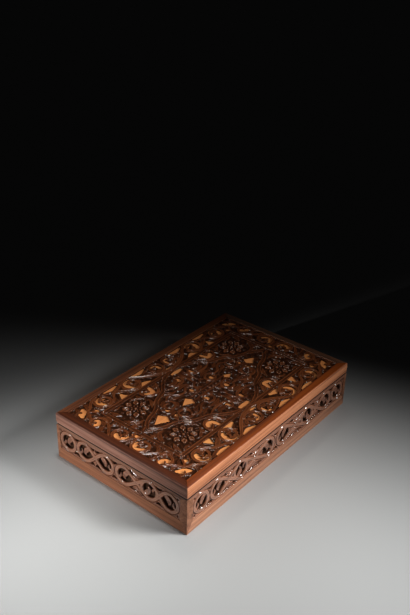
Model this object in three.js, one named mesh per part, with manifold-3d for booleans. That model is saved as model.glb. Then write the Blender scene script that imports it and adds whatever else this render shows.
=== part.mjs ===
// Low rectangular rosewood box with a hinged lid, pierced scrollwork on its four sides
// and a carved and pierced panel in the lid. Millimetres, +Z up, X along the length,
// -Y the front. The origin is the centre of the underside.
import * as THREE from 'three';
import { mergeVertices } from 'three/addons/utils/BufferGeometryUtils.js';
import Module from 'manifold-3d';

const wasm = await Module();
wasm.setup();

// Overall sizes
const boxLength = 320;
const boxDepth = 202;
const bodyHeight = 49;
const seamGap = 0.4;
const lidHeight = 14.6;

// Gaps between pieces
const glueGap = 0.1;
const panelGap = 0.2;
const hingeGap = 0.15;

// Body sides: each is a frame of four mitred members round a pierced panel, with a
// thin lining behind it in a rebate. The stiles are given from left to right as seen
// from outside.
const wallThick = 9;
const topRailHeight = 4.4;
const railHeight = 14.6;
const longStiles = [9.8, 5.4];
const shortStiles = [5.2, 9.8];
const fretDepth = 4;
const fretRecess = 0.3;
const fretBorder = 1.2;
const fieldRebate = 0.6;
const bottomThick = 5;

// Scrollwork of the side fields: the first ring touches its stile, and the others lie
// at these shares of the way from it to the middle of the field
const stemWidth = 4.2;
const ringOverlap = 0.3;
const ringSides = 16;
const longRings = [0, 0.207, 0.509, 0.884];
const shortRings = [0, 0.354, 0.791];
const stemGap = 5;
const sprigGap = 10;
const leafSteps = 5;
const leafTilts = [60, 125];

// Lid: four rails with a rounded outer top edge, a backing board in their groove
// and the carved panel on it
const lidRailWidth = 10;
const lidEdgeRadius = 2.5;
const lidEdgeSteps = 4;
const fretThick = 2.6;
const fretBelowRim = 0.3;
const backingThick = 3;
const grooveDepth = 3;

// Lid panel pattern, one quarter, measured from the lid's outer corner. Rings of the
// border and motifs of the field lie at shares of the lid's half length and half depth,
// and each crescent opens in the direction given in degrees.
const longBandWidth = 27;
const shortBandWidth = 24;
const longBandRings = [{ share: 0.344, open: 200 }, { share: 0.644, open: 215 },
  { share: 0.9125, open: 300 }];
const shortBandRings = [{ share: 0.515, open: 195 }, { share: 0.861, open: 150 }];
const bandRingWall = 4;
const bandEdgeStrip = 1.2;
const crescentShift = 0.35;
const gapLeaf = 0.36;
const gapLeafTrim = 5;
const discSides = 14;
const cornerReach = 3;
const dropSides = 8;
const rosettePlace = { x: 0.425, y: 0.634, radius: 13, drops: 8, drop: 1.6 };
const commaPlace = { x: 0.656, y: 0.525, radius: 8.5, open: 130 };
const volutePlace = { x: 0.931, y: 0.574, radius: 5, open: 60 };
const knotPlace = { x: 0.869, y: 0.903 };
const budPlace = { x: 0.578, y: 0.926, radius: 2 };
const kites = [{ share: 0.375, wide: 16, end: 20, half: 8.5 },
  { share: 0.681, wide: 13, end: 16.5, half: 7 }];
const vertexWidth = 8;
const vertexRise = 6;
const strapWidth = 8;
const cornerBar = { line: [[12.5, 29], [17, 26.5], [21.5, 22.5], [25, 18], [28, 15]],
  halfWidths: [1.2, 2.6, 3, 2.6, 1.2] };
const cornerDots = [{ x: 34, y: 32, radius: 2.2 }, { x: 14, y: 14.5, radius: 1.8 }];
const knotBar = { line: [[-4.5, -1.5], [0, 0.5], [4.5, -0.5]], halfWidths: [1.2, 3, 1.2] };

// Hinges: two three-knuckle butt hinges in the bevelled joint at the back
const hingeInset = 2.2;
const bevelAngle = 51;
const bevelRun = 10;
const hingeLength = 30;
const hingeOffset = 95;
const knuckleRadius = 1.9;
const pinRadius = 0.9;
const pinPlay = 0.08;
const leafThick = 1;
const leafReach = 5.6;
const knuckleSides = 16;
const screwSpread = 18;
const screwHead = 1.2;
const screwShank = 0.65;
const screwLength = 3.4;
const screwSides = 8;
const screwFromInner = 1.8;

const lidBottom = bodyHeight + seamGap;
const lidTop = lidBottom + lidHeight;
const hingeZ = bodyHeight + seamGap / 2;
const fieldTop = bodyHeight - topRailHeight;
const fieldMid = (railHeight + fieldTop) / 2;
const ringReach = (fieldTop - railHeight) / 2 - fretBorder + ringOverlap;
const ringOuter = ringReach / Math.cos(Math.PI / ringSides);
const backingTop = lidTop - fretBelowRim - fretThick;
const backingBottom = backingTop - backingThick;
const rad = Math.PI / 180;

const rosewood = { color: 0x6b3a22, roughness: 0.42, metalness: 0 };
const rosewoodDark = { color: 0x4a2415, roughness: 0.38, metalness: 0 };
const paleWood = { color: 0xc98b4f, roughness: 0.55, metalness: 0 };
const liningWood = { color: 0x3a2618, roughness: 0.7, metalness: 0 };
const brass = { color: 0xb08d4a, roughness: 0.35, metalness: 1 };

// Solids from three.js geometries and back
function solid(geometry) {
  const bare = geometry.clone();
  bare.deleteAttribute('normal');
  bare.deleteAttribute('uv');
  const merged = mergeVertices(bare, 1e-4);
  return new wasm.Manifold(new wasm.Mesh({
    numProp: 3,
    vertProperties: new Float32Array(merged.attributes.position.array),
    triVerts: new Uint32Array(merged.index.array),
  }));
}

function geometryOf(body) {
  const { vertProperties, triVerts } = body.getMesh();
  const geometry = new THREE.BufferGeometry();
  geometry.setAttribute('position', new THREE.BufferAttribute(vertProperties, 3));
  geometry.setIndex(new THREE.BufferAttribute(triVerts, 1));
  geometry.computeVertexNormals();
  return geometry;
}

const addAll = (bodies) => bodies.reduce((sum, body) => sum.add(body));

// Prisms: a flat outline carried along one axis between two heights
const axes = {
  up: new THREE.Matrix4(),
  inward: new THREE.Matrix4().makeBasis(
    new THREE.Vector3(1, 0, 0), new THREE.Vector3(0, 0, 1), new THREE.Vector3(0, -1, 0)),
  along: new THREE.Matrix4().makeBasis(
    new THREE.Vector3(0, 1, 0), new THREE.Vector3(0, 0, 1), new THREE.Vector3(1, 0, 0)),
};

function prism(outline, low, high, axis = 'up') {
  const shape = new THREE.Shape(outline);
  const geometry = new THREE.ExtrudeGeometry(shape, { depth: high - low, bevelEnabled: false });
  geometry.applyMatrix4(axes[axis]);
  const shift = { up: [0, 0, low], inward: [0, high, 0], along: [low, 0, 0] }[axis];
  geometry.translate(...shift);
  return solid(geometry);
}

function block(x0, x1, y0, y1, z0, z1) {
  const geometry = new THREE.BoxGeometry(x1 - x0, y1 - y0, z1 - z0);
  geometry.translate((x0 + x1) / 2, (y0 + y1) / 2, (z0 + z1) / 2);
  return solid(geometry);
}

// Flat outlines
const at = (x, y) => new THREE.Vector2(x, y);
const polar = (x, y, radius, degrees) =>
  at(x + radius * Math.cos(degrees * rad), y + radius * Math.sin(degrees * rad));
const steps = (count) => Array.from({ length: count }, (_, index) => index);

const discOutline = (x, y, radius, sides) =>
  steps(sides).map((index) => polar(x, y, radius, (index + 0.5) * 360 / sides));

const rectOutline = (x0, x1, y0, y1) => [at(x0, y0), at(x1, y0), at(x1, y1), at(x0, y1)];

// A stroke: half widths set off to both sides of a centre line
function strokeOutline(line, halfWidths) {
  const last = line.length - 1;
  const left = [];
  const right = [];
  line.forEach((point, index) => {
    const ahead = line[Math.min(index + 1, last)];
    const behind = line[Math.max(index - 1, 0)];
    const normal = at(behind.y - ahead.y, ahead.x - behind.x).normalize();
    left.push(point.clone().addScaledVector(normal, halfWidths[index]));
    right.push(point.clone().addScaledVector(normal, -halfWidths[index]));
  });
  return left.concat(right.reverse());
}

// An S-shaped leaf through three points that swells in the middle
function leafOutline(start, middle, end, thin, thick) {
  const curve = new THREE.SplineCurve([start, middle, end]);
  const line = curve.getPoints(leafSteps);
  const swell = line.map((_, index) =>
    thin + (thick - thin) * Math.sin(Math.PI * index / leafSteps));
  return strokeOutline(line, swell);
}

// Side boards are made lying along X, with the outer face at Y = 0 and Y growing
// inwards, and are then turned to their side of the box
const longSide = { length: boxLength, half: boxDepth / 2, stiles: longStiles, rings: longRings };
const shortSide = { length: boxDepth, half: boxLength / 2, stiles: shortStiles, rings: shortRings };
const sides = {
  front: { ...longSide, turn: 0 },
  right: { ...shortSide, turn: 90, backEnd: boxDepth, outwards: 1 },
  back: { ...longSide, turn: 180 },
  left: { ...shortSide, turn: 270, backEnd: 0, outwards: -1 },
};

function mitredBoard(length, thick, low, high) {
  const outline = [at(glueGap, 0), at(length - glueGap, 0),
    at(length - glueGap - thick, thick), at(glueGap + thick, thick)];
  return prism(outline, low, high);
}

// Scrollwork of a side field: rings side by side, an S-shaped leaf in each,
// a slanting stem where two rings stand apart and a fill where they nearly meet
const throughFret = (outline) => prism(outline, fretRecess, fretDepth, 'inward');

function scrollRing(x, mirrored, tilt) {
  const hole = prism(discOutline(x, fieldMid, ringOuter - stemWidth, ringSides), -1,
    fretDepth + 1, 'inward');
  const inner = ringOuter - stemWidth / 2;
  const spot = (radius, degrees) => {
    const point = polar(0, fieldMid, radius, degrees);
    return at(x + mirrored * point.x, point.y);
  };
  const leaf = leafOutline(spot(inner, tilt), spot(inner / 5, tilt - 60),
    spot(inner, tilt + 200), stemWidth * 0.3, stemWidth * 0.75);
  return throughFret(discOutline(x, fieldMid, ringOuter, ringSides)).subtract(hole)
    .add(throughFret(leaf));
}

// The stem runs along the inner tangent of two rings, from the top of one to the
// bottom of the other, with two small leaves on it where there is room for them
function scrollStem(here, next, sign) {
  const radius = ringOuter - stemWidth / 2;
  const apart = next - here;
  const gap = apart - 2 * ringOuter;
  const centre = (here + next) / 2;
  const lean = Math.asin(2 * radius / apart);
  const reach = apart / 2 * Math.cos(lean) ** 2 + stemWidth / 2;
  const drop = apart / 2 * Math.cos(lean) * Math.sin(lean) + stemWidth / 2;
  const line = [at(centre - reach, fieldMid + sign * drop),
    at(centre + reach, fieldMid - sign * drop)];
  const stem = throughFret(strokeOutline(line, [stemWidth / 2, stemWidth / 2]));
  if (gap < sprigGap) return stem;
  const leaves = [1, -1].map((way) => throughFret(leafOutline(at(centre, fieldMid),
    at(centre + way * gap * 0.3, fieldMid + way * sign * ringOuter * 0.5),
    at(centre + way * gap * 0.75, fieldMid + way * sign * ringOuter * 0.75),
    stemWidth * 0.3, stemWidth * 0.6)));
  return addAll([stem, ...leaves]);
}

function scrollwork({ length, stiles, rings }) {
  const middle = (stiles[0] + length - stiles[1]) / 2;
  const first = stiles[0] + fretBorder + ringReach - ringOverlap;
  const half = rings.map((share) => first + share * (middle - first));
  const centres = half.concat(half.map((x) => 2 * middle - x).reverse());
  const bodies = centres.map((x, index) => {
    const order = Math.min(index, centres.length - 1 - index);
    return scrollRing(x, x > middle ? -1 : 1, leafTilts[order % 2]);
  });
  centres.slice(1).forEach((next, index) => {
    const here = centres[index];
    const gap = next - here - 2 * ringOuter;
    const centre = (here + next) / 2;
    if (gap >= stemGap) bodies.push(scrollStem(here, next, centre < middle ? 1 : -1));
    else if (gap > -ringOverlap) {
      const radius = Math.max(gap, 0) + stemWidth / 2;
      bodies.push(throughFret(discOutline(centre, fieldMid, radius, dropSides)));
    }
  });
  return addAll(bodies);
}

function liningBlock({ length }, gap, inner) {
  return block(wallThick + gap, length - wallThick - gap, fretDepth + gap, inner,
    bottomThick + gap, fieldTop + fieldRebate - gap);
}

const liningRebate = (side) => liningBlock(side, 0, wallThick + 1);
const lining = (side) => liningBlock(side, panelGap, wallThick);

// The pierced panel fills the window of the frame, a little behind its face
function fretwork(side) {
  const { length, stiles } = side;
  const panel = (inset) => rectOutline(stiles[0] + inset, length - stiles[1] - inset,
    railHeight + inset, fieldTop - inset);
  const field = prism(panel(fretBorder), -1, fretDepth + 1, 'inward');
  const plate = throughFret(panel(glueGap));
  return plate.subtract(field).add(scrollwork(side).intersect(plate));
}

// Each frame member is its share of the whole board: the shares meet along lines
// from the outer corners to the corners of the window, with a glue line between
function frameMembers(side) {
  const { length, stiles } = side;
  const left = stiles[0];
  const right = length - stiles[1];
  const behindLeft = Math.max(left, wallThick);
  const behindRight = Math.min(right, length - wallThick);
  const full = (outline) => prism(outline, -1, wallThick + 1, 'inward');
  const window = prism(rectOutline(left, right, railHeight, fieldTop), -1, fretDepth, 'inward');
  const shares = {
    bottom_rail: [at(0, 0), at(length, 0), at(right, railHeight), at(left, railHeight)],
    top_rail: [at(left, fieldTop), at(right, fieldTop), at(length, bodyHeight),
      at(0, bodyHeight)],
    left_stile: [at(0, 0), at(left, railHeight), at(behindLeft, railHeight),
      at(behindLeft, fieldTop), at(left, fieldTop), at(0, bodyHeight)],
    right_stile: [at(length, 0), at(length, bodyHeight), at(right, fieldTop),
      at(behindRight, fieldTop), at(behindRight, railHeight), at(right, railHeight)],
  };
  const mitre = (from, to) => full(strokeOutline([from.clone().lerp(to, -0.1), to],
    [glueGap / 2, glueGap / 2]));
  const joints = [];
  [[0, left, behindLeft], [length, right, behindRight]].forEach(([corner, inner, behind]) => {
    joints.push(mitre(at(corner, 0), at(inner, railHeight)),
      mitre(at(corner, bodyHeight), at(inner, fieldTop)));
    if (inner === behind) return;
    [railHeight - glueGap, fieldTop].forEach((low) => joints.push(block(Math.min(inner, behind),
      Math.max(inner, behind), fretDepth, wallThick + 1, low, low + glueGap)));
  });
  const board = mitredBoard(length, wallThick, 0, bodyHeight)
    .subtract(addAll([window, liningRebate(side), ...joints]));
  return Object.entries(shares).map(([name, outline]) => [name, board.intersect(full(outline))]);
}

function lidRail(side) {
  const round = steps(lidEdgeSteps + 1).map((index) => polar(lidEdgeRadius,
    lidTop - lidEdgeRadius, lidEdgeRadius, 180 - 90 * index / lidEdgeSteps));
  const profile = [at(0, lidBottom), ...round, at(lidRailWidth, lidTop),
    at(lidRailWidth, lidBottom)];
  const groove = block(0, side.length, lidRailWidth - grooveDepth, lidRailWidth + 1,
    backingBottom - panelGap, backingTop);
  return prism(profile, 0, side.length, 'along')
    .intersect(mitredBoard(side.length, lidRailWidth, lidBottom - 1, lidTop + 1))
    .subtract(groove);
}

// The two back edges of the joint are bevelled from the hinge line outwards. They
// make room for the knuckles and meet when the lid is fully open. The bevel also
// runs out through the back ends of the side boards.
const bevelRise = (upward) => (upward ? 1 : -1) * bevelRun * Math.tan(bevelAngle * rad);

function backBevel(length, upward) {
  return prism([at(hingeInset, hingeZ), at(hingeInset - bevelRun, hingeZ),
    at(hingeInset - bevelRun, hingeZ + bevelRise(upward))], -1, length + 1, 'along');
}

function endBevel({ backEnd, outwards }, upward) {
  const line = backEnd - outwards * hingeInset;
  const end = line + outwards * bevelRun;
  return prism([at(line, hingeZ), at(end, hingeZ), at(end, hingeZ + bevelRise(upward))],
    -1, lidRailWidth + 1, 'inward');
}

// Hinge cuts in the two back boards: the bevel, a round channel for the knuckles
// and a shallow bed for each leaf with its screw holes
function knuckle(low, high, radius, sides = knuckleSides) {
  return prism(discOutline(hingeInset, hingeZ, radius, sides), low, high, 'along');
}

function screw(x, upward, grow) {
  const tip = screwLength + grow;
  const head = screwHead + grow;
  const shank = screwShank + grow;
  const profile = [at(0, -tip), at(shank, -tip + shank), at(shank, -head + shank / 2),
    at(head, -grow / 4), at(head, 0), at(0, 0)];
  const geometry = new THREE.LatheGeometry(profile, screwSides);
  geometry.rotateX(upward ? -Math.PI / 2 : Math.PI / 2);
  geometry.translate(x, hingeInset + leafReach - screwFromInner,
    upward ? lidBottom : bodyHeight);
  return solid(geometry);
}

function hingeCentres(length) {
  return [-1, 1].map((way) => length / 2 + way * hingeOffset);
}

const screwPlaces = [-screwSpread / 2, screwSpread / 2];

function hingeCuts(length, upward) {
  const face = upward ? lidBottom : bodyHeight;
  const away = upward ? 1 : -1;
  const cuts = [backBevel(length, upward)];
  hingeCentres(length).forEach((centre) => {
    const half = hingeLength / 2 + hingeGap;
    const depth = [face, face + away * (leafThick + hingeGap)].sort((a, b) => a - b);
    cuts.push(knuckle(centre - half, centre + half, knuckleRadius + 2 * hingeGap));
    cuts.push(block(centre - half, centre + half, hingeInset,
      hingeInset + leafReach + hingeGap, depth[0] - (upward ? 1 : 0),
      depth[1] + (upward ? 0 : 1)));
    screwPlaces.forEach((place) => cuts.push(screw(centre + place, upward, hingeGap)));
  });
  return addAll(cuts);
}

// A hinge leaf: its plate, its own knuckles and the room for the other leaf's
function hingeLeaf(centre, upward) {
  const third = hingeLength / 3;
  const face = upward ? lidBottom : bodyHeight;
  const back = upward ? lidBottom + leafThick : bodyHeight - leafThick;
  const plate = block(centre - hingeLength / 2, centre + hingeLength / 2, hingeInset + pinRadius,
    hingeInset + leafReach, Math.min(face, back), Math.max(face, back));
  const spans = steps(3).map((index) => [centre + (index - 1.5) * third,
    centre + (index - 0.5) * third]);
  const own = spans.filter((_, index) => (index === 1) === upward);
  const other = spans.filter((_, index) => (index === 1) !== upward);
  const play = hingeGap / 2;
  const inOwn = own.map(([low, high]) => knuckle(
    low + (low > centre - hingeLength / 2 ? play : 0),
    high - (high < centre + hingeLength / 2 ? play : 0), knuckleRadius));
  const room = other.map(([low, high]) =>
    knuckle(low - play, high + play, knuckleRadius + hingeGap));
  const bore = knuckle(centre - hingeLength, centre + hingeLength, pinRadius + pinPlay);
  const holes = screwPlaces.map((place) => screw(centre + place, upward, hingeGap / 2));
  return addAll([plate.subtract(addAll(room)), ...inOwn]).subtract(addAll([bore, ...holes]));
}

function hingePin(centre) {
  return knuckle(centre - hingeLength / 2, centre + hingeLength / 2, pinRadius);
}

// Lid panel: a plate with the openings of the pattern cut through it
const lidHalfX = boxLength / 2;
const lidHalfY = boxDepth / 2;
const signs = [-1, 1];
const quarters = signs.flatMap((sx) => signs.map((sy) => [sx, sy]));
const cutLow = backingTop - 1;
const cutHigh = lidTop + 1;
const cutThrough = (outline) => prism(outline, cutLow, cutHigh);

function mirroredOutline(outline, sx, sy) {
  return outline.map(({ x, y }) => at(sx * (lidHalfX - x), sy * (lidHalfY - y)));
}

const fieldSpot = ({ x, y }) => at(x * lidHalfX, y * lidHalfY);
const moved = (outline, spot) => outline.map((point) => point.clone().add(spot));

function crescent({ x, y }, radius, degrees, sx, sy) {
  const spot = polar(x, y, radius * crescentShift, degrees + 180);
  const outer = discOutline(x, y, radius, discSides);
  const inner = discOutline(spot.x, spot.y, radius * 2 * crescentShift, discSides);
  return cutThrough(mirroredOutline(outer, sx, sy))
    .subtract(prism(mirroredOutline(inner, sx, sy), cutLow - 1, cutHigh + 1));
}

// The border band is open except for its rings, the leaves between them and the corners
function borderOpenings() {
  const edge = lidRailWidth;
  const strip = edge + bandEdgeStrip;
  const innerX = edge + shortBandWidth;
  const innerY = edge + longBandWidth;
  const frame = (x, y) => rectOutline(x - lidHalfX, lidHalfX - x, y - lidHalfY, lidHalfY - y);
  const bands = [
    { rings: longBandRings, half: lidHalfX, width: longBandWidth,
      spot: (along) => at(along, edge + longBandWidth / 2) },
    { rings: shortBandRings, half: lidHalfY, width: shortBandWidth,
      spot: (along) => at(edge + shortBandWidth / 2, along) },
  ];
  const corner = innerY + cornerReach;
  const filled = [];
  const crescents = [];
  quarters.forEach(([sx, sy]) => {
    const fill = (outline) => filled.push(prism(mirroredOutline(outline, sx, sy),
      cutLow - 1, cutHigh + 1));
    bands.forEach(({ rings, half, width, spot }) => rings.forEach(({ share, open }, index) => {
      const here = share * half;
      const next = rings[index + 1] ? rings[index + 1].share * half : 2 * half - here;
      const ring = spot(here);
      const leaf = spot((here + next) / 2);
      const leafRadius = Math.max((next - here) * gapLeaf - gapLeafTrim, gapLeafTrim);
      fill(discOutline(ring.x, ring.y, width / 2, discSides));
      fill(discOutline(leaf.x, leaf.y, leafRadius, discSides));
      crescents.push(crescent(ring, width / 2 - bandRingWall, open, sx, sy));
    }));
    fill(rectOutline(0, corner, 0, corner));
  });
  const band = cutThrough(frame(strip, strip))
    .subtract(prism(frame(innerX, innerY), cutLow - 1, cutHigh + 1));
  return addAll([band.subtract(addAll(filled)), ...crescents]);
}

// Openings that stand alone, one quarter of them: the corner bar, the comma leaf,
// the ring of drops round the rosette, the volutes and the knot at the centre
function quarterOpenings(sx, sy) {
  const cut = (outline) => cutThrough(mirroredOutline(outline, sx, sy));
  const dot = (spot, radius) => cut(discOutline(spot.x, spot.y, radius, dropSides));
  const bar = ({ line, halfWidths }) =>
    strokeOutline(line.map(([x, y]) => at(x, y)), halfWidths);
  const rosette = fieldSpot(rosettePlace);
  const drops = steps(rosettePlace.drops).map((index) => dot(
    polar(rosette.x, rosette.y, rosettePlace.radius, (index + 0.5) * 360 / rosettePlace.drops),
    rosettePlace.drop));
  return [
    cut(bar(cornerBar)), ...cornerDots.map((spot) => dot(spot, spot.radius)), ...drops,
    crescent(fieldSpot(commaPlace), commaPlace.radius, commaPlace.open, sx, sy),
    crescent(fieldSpot(volutePlace), volutePlace.radius, volutePlace.open, sx, sy),
    cut(moved(bar(knotBar), fieldSpot(knotPlace))),
    dot(fieldSpot(budPlace), budPlace.radius),
  ];
}

// Openings on the middle lines: the straight-sided kites and the small triangles
function axisOpenings() {
  const kiteCuts = signs.flatMap((sx) => kites.map(({ share, wide, end, half }) => {
    const tip = share * lidHalfX;
    return cutThrough(mirroredOutline([at(tip, lidHalfY), at(tip + wide, lidHalfY - half),
      at(tip + end, lidHalfY), at(tip + wide, lidHalfY + half)], sx, 1));
  }));
  const rise = lidRailWidth + longBandWidth + strapWidth;
  const vertices = signs.map((sy) => cutThrough(mirroredOutline([
    at(lidHalfX - vertexWidth / 2, rise), at(lidHalfX + vertexWidth / 2, rise),
    at(lidHalfX, rise + vertexRise)], 1, sy)));
  return kiteCuts.concat(vertices);
}

function lidFretwork() {
  const halfX = lidHalfX - lidRailWidth - panelGap;
  const halfY = lidHalfY - lidRailWidth - panelGap;
  const plate = block(-halfX, halfX, -halfY, halfY, backingTop, lidTop - fretBelowRim);
  const openings = quarters.flatMap(([sx, sy]) => quarterOpenings(sx, sy));
  return plate.subtract(addAll([borderOpenings(), ...openings, ...axisOpenings()]));
}

function boardIn(inset, low, high) {
  return block(inset - boxLength / 2, boxLength / 2 - inset, inset - boxDepth / 2,
    boxDepth / 2 - inset, low, high);
}

// Assembly
const box = new THREE.Group();

function addPiece(parent, name, body, look) {
  const mesh = new THREE.Mesh(geometryOf(body), new THREE.MeshStandardMaterial(look));
  mesh.name = name;
  parent.add(mesh);
}

const body = new THREE.Group();
const lid = new THREE.Group();
box.add(body, lid);

addPiece(body, 'bottom_board', boardIn(wallThick + panelGap, 0, bottomThick), rosewood);
addPiece(lid, 'lid_backing', boardIn(lidRailWidth - grooveDepth + panelGap, backingBottom,
  backingTop - glueGap), paleWood);
addPiece(lid, 'lid_fretwork', lidFretwork(), rosewoodDark);

Object.entries(sides).forEach(([name, side]) => {
  const bodySide = new THREE.Group();
  const lidSide = new THREE.Group();
  [[body, bodySide], [lid, lidSide]].forEach(([parent, group]) => {
    const turn = side.turn * rad;
    group.rotation.z = turn;
    group.position.set(
      -side.length / 2 * Math.cos(turn) + side.half * Math.sin(turn),
      -side.length / 2 * Math.sin(turn) - side.half * Math.cos(turn), 0);
    parent.add(group);
  });
  const atBack = name === 'back';
  const fitted = (board, upward) => {
    if (atBack) return board.subtract(hingeCuts(side.length, upward));
    return side.outwards ? board.subtract(endBevel(side, upward)) : board;
  };
  frameMembers(side).forEach(([member, board]) =>
    addPiece(bodySide, `${name}_${member}`, fitted(board, false), rosewood));
  addPiece(bodySide, `${name}_fretwork`, fretwork(side), rosewoodDark);
  addPiece(bodySide, `${name}_lining`, lining(side), liningWood);
  addPiece(lidSide, `${name}_lid_rail`, fitted(lidRail(side), true), rosewood);
  if (!atBack) return;
  hingeCentres(side.length).forEach((centre, index) => {
    const which = ['right', 'left'][index];
    addPiece(bodySide, `${which}_hinge_lower_leaf`, hingeLeaf(centre, false), brass);
    addPiece(bodySide, `${which}_hinge_pin`, hingePin(centre), brass);
    addPiece(lidSide, `${which}_hinge_upper_leaf`, hingeLeaf(centre, true), brass);
    screwPlaces.forEach((place, number) => {
      addPiece(bodySide, `${which}_hinge_lower_screw_${number + 1}`,
        screw(centre + place, false, 0), brass);
      addPiece(lidSide, `${which}_hinge_upper_screw_${number + 1}`,
        screw(centre + place, true, 0), brass);
    });
  });
});

export default box;
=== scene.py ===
# Low rosewood box with pierced scrollwork sides and a carved, pierced lid panel
import math
import bmesh
import bpy
import numpy as np
from mathutils import Matrix, Vector


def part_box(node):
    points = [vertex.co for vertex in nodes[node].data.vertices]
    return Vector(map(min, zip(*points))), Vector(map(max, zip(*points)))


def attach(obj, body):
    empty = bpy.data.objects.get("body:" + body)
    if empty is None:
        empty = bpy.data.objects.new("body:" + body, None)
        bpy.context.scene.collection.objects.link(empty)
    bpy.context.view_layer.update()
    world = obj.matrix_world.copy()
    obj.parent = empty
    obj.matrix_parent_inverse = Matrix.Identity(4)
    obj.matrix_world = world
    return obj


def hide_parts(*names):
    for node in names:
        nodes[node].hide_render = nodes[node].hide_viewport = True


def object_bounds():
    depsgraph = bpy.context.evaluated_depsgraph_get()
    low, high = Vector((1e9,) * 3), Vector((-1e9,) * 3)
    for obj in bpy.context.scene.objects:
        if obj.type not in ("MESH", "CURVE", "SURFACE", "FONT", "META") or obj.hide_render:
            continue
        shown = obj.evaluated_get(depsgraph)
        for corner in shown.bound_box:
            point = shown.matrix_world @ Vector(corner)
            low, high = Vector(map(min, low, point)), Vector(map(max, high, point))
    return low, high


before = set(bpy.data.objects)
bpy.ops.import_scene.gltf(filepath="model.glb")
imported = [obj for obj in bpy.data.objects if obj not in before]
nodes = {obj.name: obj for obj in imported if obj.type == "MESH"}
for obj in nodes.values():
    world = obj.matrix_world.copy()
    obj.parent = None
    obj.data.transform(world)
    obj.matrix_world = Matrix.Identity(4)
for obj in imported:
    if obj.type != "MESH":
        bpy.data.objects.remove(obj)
cadLow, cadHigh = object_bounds()
mm = 0.001
sideTurns = {"front": 0, "right": 90, "back": 180, "left": 270}  # degrees about Z
grainTurns = {side: turn % 180 for side, turn in sideTurns.items()}
farOff = 9.0  # mm, the distance of a spot that no stroke or opening is near
print("frame loaded:", len(nodes), "nodes")

# Curves and carving


def smoothPath(points, perSpan=8):
    # Catmull-Rom curve: each span is the cubic through its ends whose slopes are half
    # the step between the neighbours on both sides
    p = np.array(points, float)
    p = np.vstack([2 * p[0] - p[1], p, 2 * p[-1] - p[-2]])
    t = np.linspace(0, len(p) - 3, (len(p) - 3) * perSpan + 1)
    i = np.minimum(t.astype(int), len(p) - 4)
    u = (t - i)[:, None]
    a, b, c, d = p[i], p[i + 1], p[i + 2], p[i + 3]
    return 0.5 * (2 * b + (c - a) * u + (2 * a - 5 * b + 4 * c - d) * u ** 2
                  + (3 * b - a - 3 * c + d) * u ** 3)


def coilPath(centre, radii, degrees, count=34):
    # spiral: radius and angle both pass evenly through their given values
    t = np.linspace(0, 1, count)
    turn = np.radians(np.interp(t, np.linspace(0, 1, len(degrees)), degrees))
    reach = np.interp(t, np.linspace(0, 1, len(radii)), radii)
    return np.stack([centre[0] + reach * np.cos(turn), centre[1] + reach * np.sin(turn)], 1)


def measurePath(spots, path, halfWidths, margin=2.0):
    # for the spots near a path: distance from it, its half width there, share of the way
    step = np.hypot(*np.diff(path, axis=0).T)
    run = np.concatenate([[0], np.cumsum(step)])
    share = run / run[-1]
    half = np.interp(share, np.linspace(0, 1, len(halfWidths)), halfWidths)
    reach = half.max() + margin
    near = np.flatnonzero(np.all((spots > path.min(0) - reach) & (spots < path.max(0) + reach), axis=1))
    q = spots[near]
    start, along = path[:-1], np.diff(path, axis=0)
    u = np.clip(((q[:, None] - start) * along).sum(2) / (along ** 2).sum(1), 0, 1)
    gap = q[:, None] - (start + u[..., None] * along)
    far = np.hypot(gap[..., 0], gap[..., 1])
    best = far.argmin(1)
    rows = np.arange(len(q))
    u = u[rows, best]
    return (near, far[rows, best], half[best] * (1 - u) + half[best + 1] * u,
            share[best] * (1 - u) + share[best + 1] * u)


def smoothStep(x):
    x = np.clip(x, 0, 1)
    return x * x * (3 - 2 * x)


def ridge(t, centre, width):
    # bell curve: 1 at the centre, falling off over the width
    return np.exp(-((t - centre) / width) ** 2)


def rounded(t, fall=1.0):
    # quarter of an ellipse: 1 at the centre line, lower at the edge by the fall
    return np.sqrt(np.clip(1 - fall * t ** 2, 0, 1))


profiles = {
    # share of the full height over t, the distance from the centre line in half widths,
    # and s, the share of the way along the stroke
    "stem": lambda t, s: 0.45 + 0.55 * rounded(t) - 0.16 * ridge(t, 0, 0.2),
    "leaf": lambda t, s: (0.55 + 0.45 * t ** 2 - 0.1 * ridge(t, 0, 0.12)
                          + 0.09 * np.cos(2 * np.pi * (5 * s - 1.3 * t))),
    "petal": lambda t, s: 0.4 + 0.6 * ridge(t, 0.62, 0.36),
    "strap": lambda t, s: 0.3 + 0.7 * ridge(t, 0.78, 0.2),
    "vine": lambda t, s: 0.4 + 0.6 * rounded(t) - 0.42 * ridge(t, 0, 0.3),
    "bead": lambda t, s: rounded(t, 0.85),
}


def carve(spots, strokes, rise, ramp=0.7):
    # height over the ground: the highest of the strokes, each with its profile and a
    # short slope at its edge; and the signed distance to the nearest stroke's edge
    height = np.zeros(len(spots))
    edge = np.full(len(spots), farOff)
    for kind, path, halfWidths, share in strokes:
        near, far, half, along = measurePath(spots, path, halfWidths)
        inside = half - far
        h = rise * share * profiles[kind](np.clip(far / half, 0, 1), along) * smoothStep(inside / ramp)
        height[near] = np.maximum(height[near], np.where(inside > 0, h, 0))
        edge[near] = np.minimum(edge[near], -inside)
    return height, edge


def openingGap(spots, cuts, margin=3.0):
    # signed distance to the openings, each a stroke with half widths: negative inside
    gap = np.full(len(spots), farOff)
    for path, halfWidths in cuts:
        near, far, half, along = measurePath(spots, path, halfWidths, margin)
        gap[near] = np.minimum(gap[near], far - half)
    return gap


def polygonGap(spots, corners):
    # signed distance to a convex polygon: the largest of its distances to the sides' lines
    c = np.array(corners, float)
    along = np.roll(c, -1, 0) - c
    out = np.stack([along[:, 1], -along[:, 0]], 1) / np.hypot(*along.T)[:, None]
    return ((spots[:, None] - c) * out).sum(2).max(1)


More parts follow.
